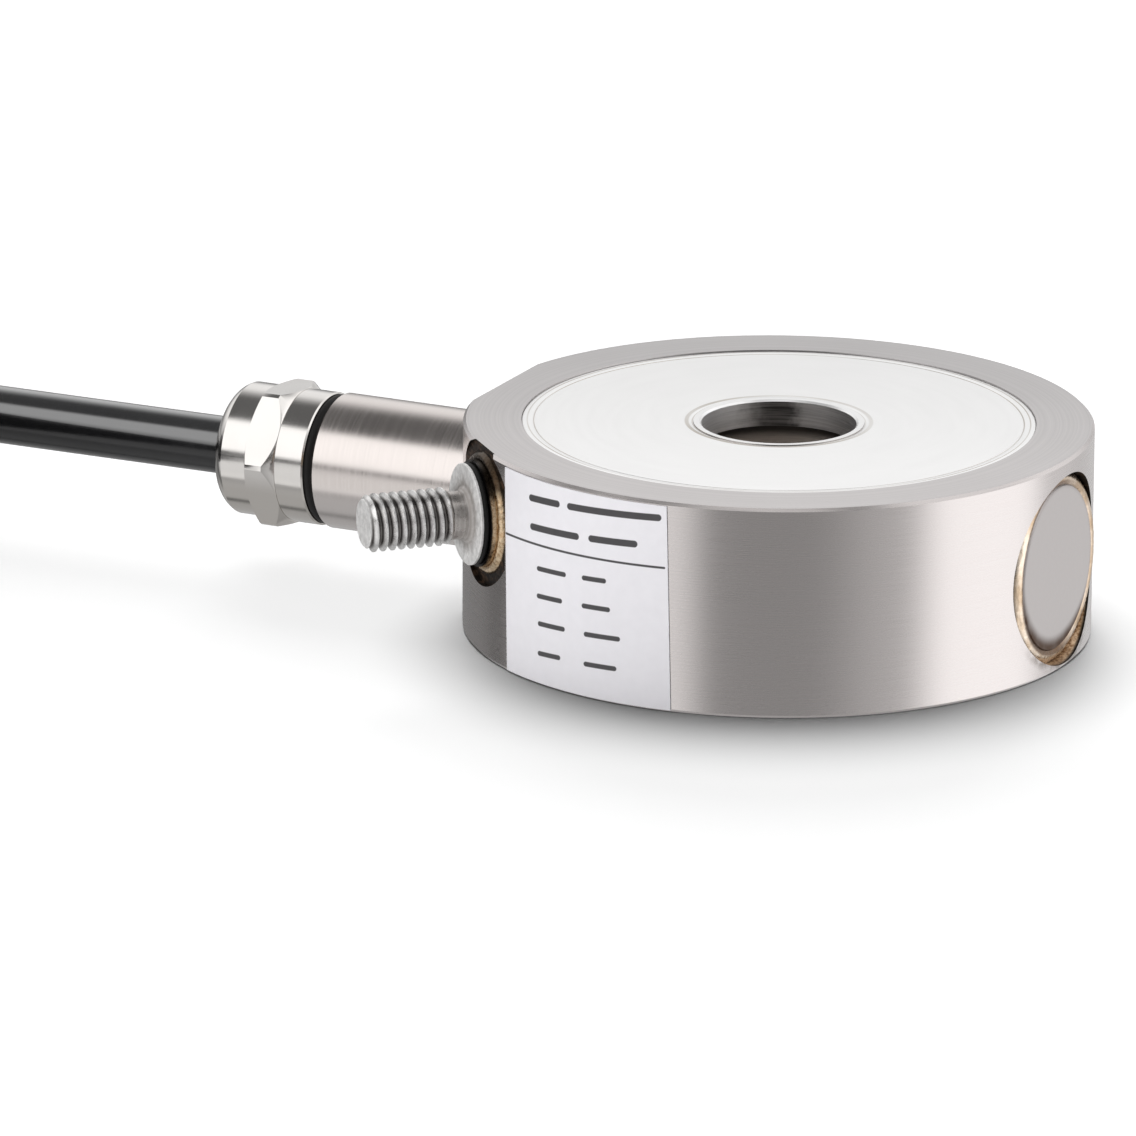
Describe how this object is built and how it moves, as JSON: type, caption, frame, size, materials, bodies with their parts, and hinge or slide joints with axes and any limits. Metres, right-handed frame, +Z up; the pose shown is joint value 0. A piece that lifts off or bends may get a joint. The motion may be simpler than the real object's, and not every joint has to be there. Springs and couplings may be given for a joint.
{
  "type": "ring torsion load cell",
  "caption": "Low round steel weighing load cell with a centre bore, a welded side cover, an earth stud and a glanded cable.",
  "frame": {"origin": "on the axis of the centre bore, at the plane the ring stands on", "axes": "+Z up along the bore, -X along the cable tube and out of the gland, the side cover faces +X"},
  "size_m": [0.2164, 0.1331, 0.0252],
  "materials": {
    "body_steel": "turned, fine rings",
    "diaphragm_steel": "smooth rolled sheet",
    "cover_steel": "satin",
    "tube_steel": "turned",
    "weld": "heat-tinted bead",
    "stud_steel": "cut thread, dull",
    "nut_plating": "nickel plated",
    "gauge_foil": "foil on film",
    "board": "board",
    "chips": "chip resistors",
    "lead_wire": "insulated wire",
    "black_rubber": "moulded rubber",
    "bush_plastic": "moulded",
    "label_film": "printed white film",
    "cable_jacket": "satin black jacket",
    "tie_plastic": "strap",
    "ferrule_tin": "tinned sleeve",
    "core_pink": "core insulation",
    "core_grey": "core insulation",
    "core_brown": "core insulation",
    "core_white": "core insulation",
    "shield_sleeve": "sleeved shield"
  },
  "bodies": {
    "root": {"spring_body": "body_steel", "top_diaphragm": "diaphragm_steel", "bottom_diaphragm": "diaphragm_steel", "gauge_upper_inner": "gauge_foil", "gauge_upper_outer": "gauge_foil", "gauge_lower_inner": "gauge_foil", "gauge_lower_outer": "gauge_foil", "terminal_board": "board", "trim_resistors": "chips", "gauge_leads": "lead_wire", "core_leads": "lead_wire", "port_cover": "cover_steel", "cover_weld": "weld", "stud_boss": "body_steel", "stud_weld": "weld", "stud_gasket": "black_rubber", "ground_stud": "stud_steel", "cable_tube": "tube_steel", "tube_weld": "tube_steel", "gland_seal_ring": "black_rubber", "gland_nut": "nut_plating", "seal_bush": "black_rubber", "thrust_washer": "bush_plastic", "label": "label_film", "cable_run": "cable_jacket", "cable_coil": "cable_jacket", "cable_tail": "cable_jacket", "coil_ties": "tie_plastic", "core_ferrules": "ferrule_tin", "core_end_pink": "core_pink", "core_end_grey": "core_grey", "core_end_brown": "core_brown", "core_end_white": "core_white", "shield_tail": "shield_sleeve"}
  },
  "joints": []
}
